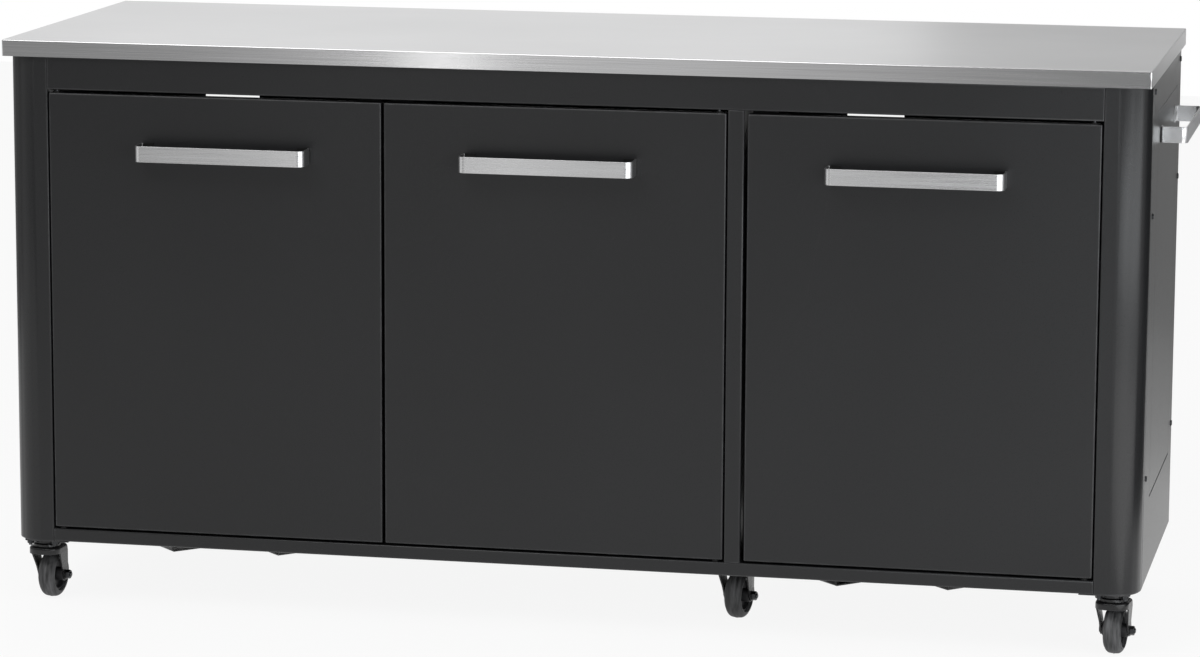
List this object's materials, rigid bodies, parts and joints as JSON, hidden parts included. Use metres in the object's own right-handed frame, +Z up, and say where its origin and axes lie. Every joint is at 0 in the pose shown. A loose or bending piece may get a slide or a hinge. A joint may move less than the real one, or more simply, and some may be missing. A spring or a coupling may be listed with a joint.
{
  "type": "rolling table",
  "caption": "Rolling outdoor-kitchen table: stainless worktop on a dark steel cabinet with hinged doors, strip handles, bottle cradles and swivel casters.",
  "frame": {"origin": "on the floor, under the middle of the table's overall box with the doors closed", "axes": "+X to the right as seen from the front, +Y from the doors to the back, +Z up"},
  "size_m": [1.881, 0.666, 0.91],
  "materials": {
    "stainless": "brushed",
    "powder_coat": "satin powder coat",
    "zinc_plate": "bright zinc plate",
    "black_zinc": "black zinc plate",
    "fork_coat": "black coat",
    "hub_plastic": "moulded",
    "tyre_rubber": "matte",
    "bush_plastic": "moulded",
    "catch_plastic": "moulded"
  },
  "bodies": {
    "cabinet": {"worktop": "stainless", "worktop_stiffeners": "zinc_plate", "corner_post_left": "powder_coat", "corner_post_right": "powder_coat", "top_rail": "powder_coat", "bottom_rail": "powder_coat", "divider_wall": "powder_coat", "side_frame_left": "powder_coat", "side_frame_right": "powder_coat", "side_panels": "powder_coat", "back_panel": "powder_coat", "rear_nut_strips": "zinc_plate", "floor_panel": "powder_coat", "bottle_cradles": "powder_coat", "side_handles": "stainless", "side_screws": "zinc_plate", "hinge_pins": "zinc_plate", "magnetic_catches": "catch_plastic", "caster_mounts": "powder_coat", "caster_plates": "powder_coat", "caster_bolts": "black_zinc"},
    "door_left": {"door_skin_left": "powder_coat", "door_liner_left": "powder_coat", "door_handle_left": "stainless", "door_handle_screws_left": "zinc_plate", "door_bushes_left": "bush_plastic"},
    "door_middle": {"door_skin_middle": "powder_coat", "door_liner_middle": "powder_coat", "door_handle_middle": "stainless", "door_handle_screws_middle": "zinc_plate", "door_bushes_middle": "bush_plastic"},
    "door_right": {"door_skin_right": "powder_coat", "door_liner_right": "powder_coat", "door_handle_right": "stainless", "door_handle_screws_right": "zinc_plate", "door_bushes_right": "bush_plastic"},
    "caster_front_left": {"caster_fork_front_left": "fork_coat", "caster_axle_front_left": "black_zinc"},
    "wheel_front_left": {"wheel_hub_front_left": "hub_plastic", "wheel_tyre_front_left": "tyre_rubber"},
    "caster_front_right": {"caster_fork_front_right": "fork_coat", "caster_axle_front_right": "black_zinc"},
    "wheel_front_right": {"wheel_hub_front_right": "hub_plastic", "wheel_tyre_front_right": "tyre_rubber"},
    "caster_back_left": {"caster_fork_back_left": "fork_coat", "caster_axle_back_left": "black_zinc"},
    "wheel_back_left": {"wheel_hub_back_left": "hub_plastic", "wheel_tyre_back_left": "tyre_rubber"},
    "caster_back_right": {"caster_fork_back_right": "fork_coat", "caster_axle_back_right": "black_zinc"},
    "wheel_back_right": {"wheel_hub_back_right": "hub_plastic", "wheel_tyre_back_right": "tyre_rubber"},
    "caster_front_middle": {"caster_fork_front_middle": "fork_coat", "caster_axle_front_middle": "black_zinc"},
    "wheel_front_middle": {"wheel_hub_front_middle": "hub_plastic", "wheel_tyre_front_middle": "tyre_rubber"},
    "caster_back_middle": {"caster_fork_back_middle": "fork_coat", "caster_axle_back_middle": "black_zinc"},
    "wheel_back_middle": {"wheel_hub_back_middle": "hub_plastic", "wheel_tyre_back_middle": "tyre_rubber"}
  },
  "joints": [
    {"name": "door_left_pivot", "type": "hinge", "parent": "cabinet", "child": "door_left", "pos_m": [-0.8148, -0.285, 0.4795], "axis": [0, 0, -1], "range_deg": [0, 110]},
    {"name": "door_middle_pivot", "type": "hinge", "parent": "cabinet", "child": "door_middle", "pos_m": [0.24297, -0.285, 0.4795], "axis": [0, 0, 1], "range_deg": [0, 110]},
    {"name": "door_right_pivot", "type": "hinge", "parent": "cabinet", "child": "door_right", "pos_m": [0.8148, -0.285, 0.4795], "axis": [0, 0, 1], "range_deg": [0, 110]},
    {"name": "caster_front_left_swivel", "type": "hinge", "parent": "cabinet", "child": "caster_front_left", "pos_m": [-0.8565, -0.247, 0.09], "axis": [0, 0, 1], "continuous": true},
    {"name": "wheel_front_left_roll", "type": "hinge", "parent": "caster_front_left", "child": "wheel_front_left", "pos_m": [-0.85441, -0.22309, 0.0375], "axis": [0.9962, -0.0872, 0], "continuous": true},
    {"name": "caster_front_right_swivel", "type": "hinge", "parent": "cabinet", "child": "caster_front_right", "pos_m": [0.8565, -0.247, 0.09], "axis": [0, 0, 1], "continuous": true},
    {"name": "wheel_front_right_roll", "type": "hinge", "parent": "caster_front_right", "child": "wheel_front_right", "pos_m": [0.85922, -0.22315, 0.0375], "axis": [0.9936, -0.1132, 0], "continuous": true},
    {"name": "caster_back_left_swivel", "type": "hinge", "parent": "cabinet", "child": "caster_back_left", "pos_m": [-0.8365, 0.209, 0.09], "axis": [0, 0, 1], "continuous": true},
    {"name": "wheel_back_left_roll", "type": "hinge", "parent": "caster_back_left", "child": "wheel_back_left", "pos_m": [-0.8365, 0.233, 0.0375], "axis": [1, 0, 0], "continuous": true},
    {"name": "caster_back_right_swivel", "type": "hinge", "parent": "cabinet", "child": "caster_back_right", "pos_m": [0.8365, 0.209, 0.09], "axis": [0, 0, 1], "continuous": true},
    {"name": "wheel_back_right_roll", "type": "hinge", "parent": "caster_back_right", "child": "wheel_back_right", "pos_m": [0.8365, 0.233, 0.0375], "axis": [1, 0, 0], "continuous": true},
    {"name": "caster_front_middle_swivel", "type": "hinge", "parent": "cabinet", "child": "caster_front_middle", "pos_m": [0.248, -0.145, 0.09], "axis": [0, 0, 1], "continuous": true},
    {"name": "wheel_front_middle_roll", "type": "hinge", "parent": "caster_front_middle", "child": "wheel_front_middle", "pos_m": [0.25258, -0.12144, 0.0375], "axis": [0.9816, -0.1908, 0], "continuous": true},
    {"name": "caster_back_middle_swivel", "type": "hinge", "parent": "cabinet", "child": "caster_back_middle", "pos_m": [0.248, 0.175, 0.09], "axis": [0, 0, 1], "continuous": true},
    {"name": "wheel_back_middle_roll", "type": "hinge", "parent": "caster_back_middle", "child": "wheel_back_middle", "pos_m": [0.248, 0.199, 0.0375], "axis": [1, 0, 0], "continuous": true}
  ]
}
